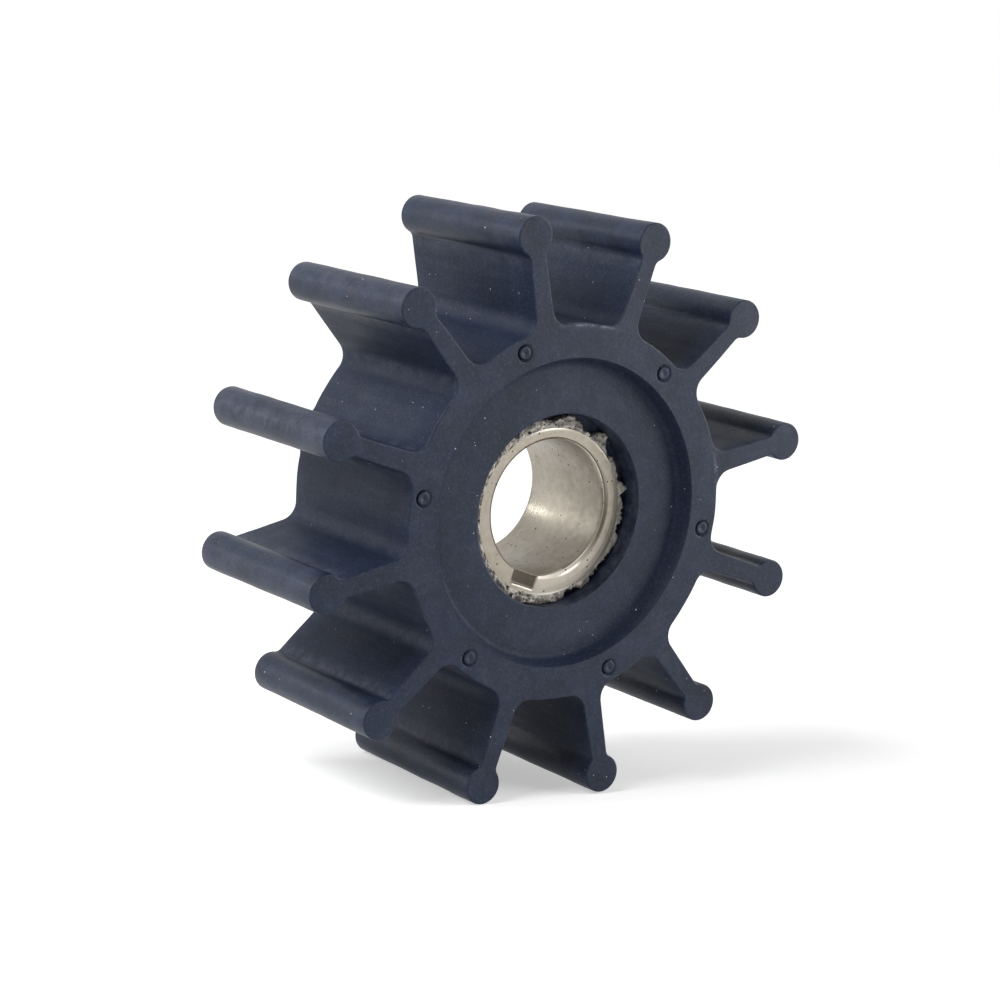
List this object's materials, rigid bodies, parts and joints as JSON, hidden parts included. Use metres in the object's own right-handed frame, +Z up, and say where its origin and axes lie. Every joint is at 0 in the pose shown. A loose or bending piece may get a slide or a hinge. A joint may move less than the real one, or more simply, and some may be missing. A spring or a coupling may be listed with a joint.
{
  "type": "pump impeller",
  "caption": "Flexible rubber pump impeller with straight, round-tipped vanes on a dished hub around a keyed metal bushing.",
  "frame": {"origin": "on the shaft axis, halfway between the two hub faces", "axes": "+Z up as the impeller stands on two vane tips, +Y along the shaft towards the drive side, and the front hub face looks towards -Y"},
  "size_m": [0.08, 0.0286, 0.08],
  "materials": {
    "moulded_rubber": "satin",
    "bushing_metal": "fine turned",
    "bond_compound": "rough, pitted"
  },
  "bodies": {
    "root": {"impeller_body": "moulded_rubber", "drive_bushing": "bushing_metal", "bond_flash": "bond_compound"}
  },
  "joints": []
}
